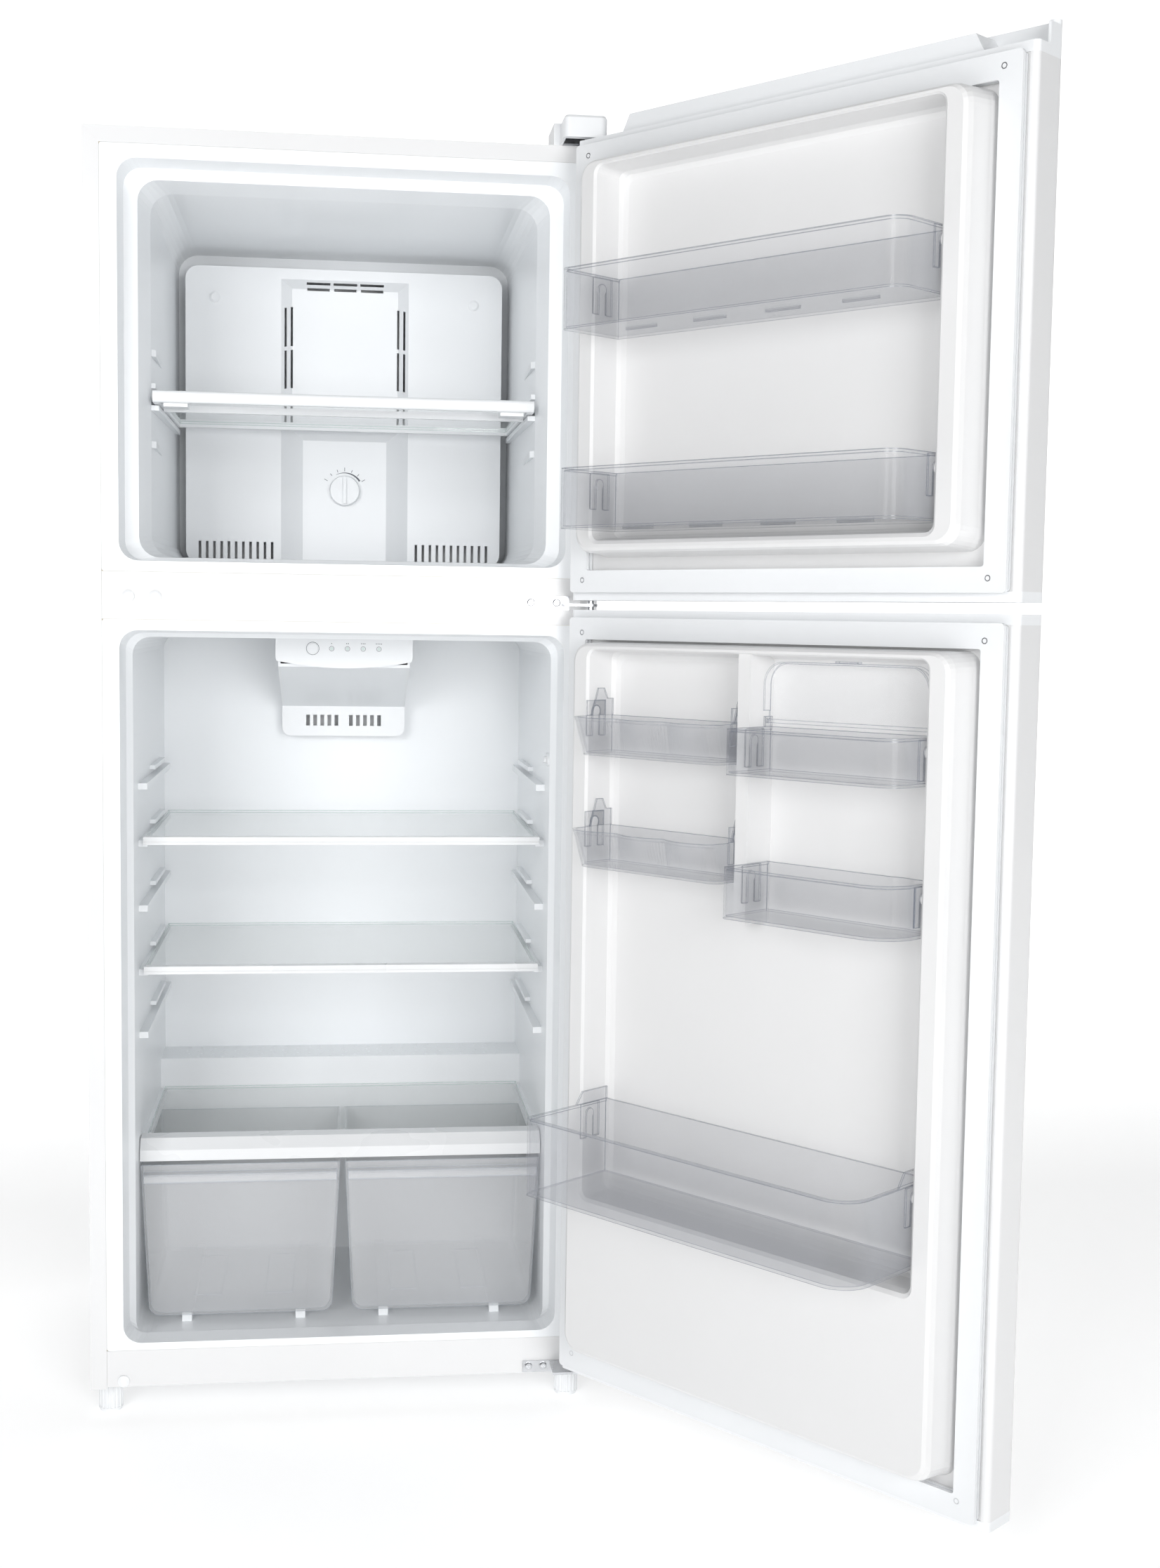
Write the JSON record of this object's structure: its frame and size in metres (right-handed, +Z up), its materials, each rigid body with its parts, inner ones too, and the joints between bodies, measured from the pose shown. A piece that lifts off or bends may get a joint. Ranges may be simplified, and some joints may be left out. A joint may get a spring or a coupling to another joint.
{
  "type": "top freezer refrigerator",
  "caption": "Upright two-door refrigerator with a freezer above, shelves, crisper drawers, door bins and both doors standing open.",
  "frame": {"origin": "on the floor under the centre of the cabinet footprint", "axes": "+Z up, the front and its doors face -Y, the doors hinge on the +X side"},
  "size_m": [0.9672, 1.0612, 1.54],
  "materials": {
    "white_steel": "smooth gloss white enamel",
    "rear_steel": "galvanised grey sheet",
    "white_liner": "semi-gloss white polystyrene",
    "white_plastic": "semi-gloss white plastic",
    "foam": "rigid polyurethane foam",
    "gasket": "soft white magnetic gasket",
    "smoke": "clear smoke-grey polystyrene",
    "clear": "clear polystyrene",
    "pane": "tempered glass with a green edge",
    "silver_trim": "satin silver-white moulding",
    "zinc": "zinc-plated steel",
    "bare_metal": "bare aluminium",
    "black_steel": "black enamel",
    "black_plastic": "black moulded plastic",
    "grey_plastic": "dark grey plastic",
    "lens": "frosted grey plastic",
    "light": "translucent lamp caps"
  },
  "bodies": {
    "cabinet": {"cabinet_shell": "white_steel", "rear_panel": "rear_steel", "cabinet_foam": "foam", "freezer_liner": "white_liner", "fridge_liner": "white_liner", "mullion_rail": "white_steel", "base_rail": "white_steel", "base_pan": "rear_steel", "evaporator_cover": "white_plastic", "evaporator_coil": "bare_metal", "fan_motor": "grey_plastic", "control_housing": "white_plastic", "lamp_lens": "lens", "indicator_lights": "light", "crisper_cover_glass": "pane", "crisper_cover_trim": "silver_trim", "top_hinge": "zinc", "top_hinge_cover": "white_plastic", "centre_hinge": "zinc", "bottom_hinge": "zinc", "hinge_screws": "zinc", "hole_plugs": "white_plastic", "compressor": "black_steel", "condenser_coil": "black_steel", "drain_pan": "black_plastic", "power_inlet": "black_plastic"},
    "fan": {"fan_blade": "white_plastic"},
    "knob": {"freezer_knob": "white_plastic"},
    "set_button": {"set_button": "white_plastic"},
    "door_switch": {"door_switch": "white_plastic"},
    "front_foot_left": {"front_foot_left": "white_plastic"},
    "front_foot_right": {"front_foot_right": "white_plastic"},
    "rear_roller_left": {"rear_roller_left": "grey_plastic"},
    "rear_roller_right": {"rear_roller_right": "grey_plastic"},
    "freezer_shelf": {"freezer_shelf": "white_plastic", "freezer_shelf_glass": "pane"},
    "shelf_upper": {"shelf_upper_glass": "pane", "shelf_upper_trim": "silver_trim"},
    "shelf_lower": {"shelf_lower_glass": "pane", "shelf_lower_trim": "silver_trim"},
    "crisper_left": {"crisper_left": "clear"},
    "crisper_right": {"crisper_right": "clear"},
    "freezer_door": {"freezer_door_skin": "white_steel", "freezer_door_liner": "white_liner", "freezer_door_foam": "foam", "freezer_door_gasket": "gasket", "freezer_door_caps": "white_plastic"},
    "freezer_bin_upper": {"freezer_bin_upper": "smoke"},
    "freezer_bin_lower": {"freezer_bin_lower": "smoke"},
    "fridge_door": {"fridge_door_skin": "white_steel", "fridge_door_liner": "white_liner", "fridge_door_foam": "foam", "fridge_door_gasket": "gasket", "fridge_door_caps": "white_plastic", "dairy_bin": "smoke"},
    "scalloped_bin_upper": {"scalloped_bin_upper": "smoke"},
    "scalloped_bin_lower": {"scalloped_bin_lower": "smoke"},
    "dairy_cover": {"dairy_cover": "clear"},
    "small_bin": {"small_bin": "smoke"},
    "bottle_bin": {"bottle_bin": "smoke"}
  },
  "joints": [
    {"name": "freezer_door_hinge", "type": "hinge", "parent": "cabinet", "child": "freezer_door", "pos_m": [0.286, -0.288, 1.25], "axis": [0, 0, 1], "range_deg": [-129, 16]},
    {"name": "fridge_door_hinge", "type": "hinge", "parent": "cabinet", "child": "fridge_door", "pos_m": [0.286, -0.288, 0.52], "axis": [0, 0, 1], "range_deg": [-129, 16]},
    {"name": "freezer_shelf_slide", "type": "slide", "parent": "cabinet", "child": "freezer_shelf", "axis": [0, -1, 0], "range_m": [0, 0.28]},
    {"name": "upper_shelf_slide", "type": "slide", "parent": "cabinet", "child": "shelf_upper", "axis": [0, -1, 0], "range_m": [0, 0.3]},
    {"name": "lower_shelf_slide", "type": "slide", "parent": "cabinet", "child": "shelf_lower", "axis": [0, -1, 0], "range_m": [0, 0.3]},
    {"name": "left_crisper_slide", "type": "slide", "parent": "cabinet", "child": "crisper_left", "axis": [0, -1, 0], "range_m": [0, 0.22]},
    {"name": "right_crisper_slide", "type": "slide", "parent": "cabinet", "child": "crisper_right", "axis": [0, -1, 0], "range_m": [0, 0.22]},
    {"name": "freezer_knob_turn", "type": "hinge", "parent": "cabinet", "child": "knob", "pos_m": [0, 0.115, 1.1346], "axis": [0, 1, 0], "range_deg": [-135, 135]},
    {"name": "set_button_press", "type": "slide", "parent": "cabinet", "child": "set_button", "axis": [0, 1, 0], "range_m": [0, 0.0012], "stiffness_N_per_m": 1200},
    {"name": "door_switch_press", "type": "slide", "parent": "cabinet", "child": "door_switch", "axis": [1, 0, 0], "range_m": [0, 0.0055], "stiffness_N_per_m": 300},
    {"name": "fan_spin", "type": "hinge", "parent": "cabinet", "child": "fan", "pos_m": [0, 0.155, 1.37], "axis": [0, 1, 0], "continuous": true},
    {"name": "left_foot_turn", "type": "hinge", "parent": "cabinet", "child": "front_foot_left", "pos_m": [-0.2785, -0.214, 0.02], "axis": [0, 0, 1], "continuous": true},
    {"name": "right_foot_turn", "type": "hinge", "parent": "cabinet", "child": "front_foot_right", "pos_m": [0.2785, -0.214, 0.02], "axis": [0, 0, 1], "continuous": true},
    {"name": "left_roller_spin", "type": "hinge", "parent": "cabinet", "child": "rear_roller_left", "pos_m": [-0.2555, 0.195, 0.017], "axis": [1, 0, 0], "continuous": true},
    {"name": "right_roller_spin", "type": "hinge", "parent": "cabinet", "child": "rear_roller_right", "pos_m": [0.2555, 0.195, 0.017], "axis": [1, 0, 0], "continuous": true},
    {"name": "upper_freezer_bin_lift", "type": "slide", "parent": "freezer_door", "child": "freezer_bin_upper", "axis": [0, 0, 1], "range_m": [0, 0.02]},
    {"name": "lower_freezer_bin_lift", "type": "slide", "parent": "freezer_door", "child": "freezer_bin_lower", "axis": [0, 0, 1], "range_m": [0, 0.02]},
    {"name": "upper_scalloped_bin_lift", "type": "slide", "parent": "fridge_door", "child": "scalloped_bin_upper", "axis": [0, 0, 1], "range_m": [0, 0.02]},
    {"name": "lower_scalloped_bin_lift", "type": "slide", "parent": "fridge_door", "child": "scalloped_bin_lower", "axis": [0, 0, 1], "range_m": [0, 0.02]},
    {"name": "small_bin_lift", "type": "slide", "parent": "fridge_door", "child": "small_bin", "axis": [0, 0, 1], "range_m": [0, 0.02]},
    {"name": "bottle_bin_lift", "type": "slide", "parent": "fridge_door", "child": "bottle_bin", "axis": [0, 0, 1], "range_m": [0, 0.02]},
    {"name": "dairy_cover_hinge", "type": "hinge", "parent": "fridge_door", "child": "dairy_cover", "pos_m": [0.50646, -0.61903, 0.862], "axis": [-0.6293, 0.7771, 0], "range_deg": [-88, 2]}
  ]
}
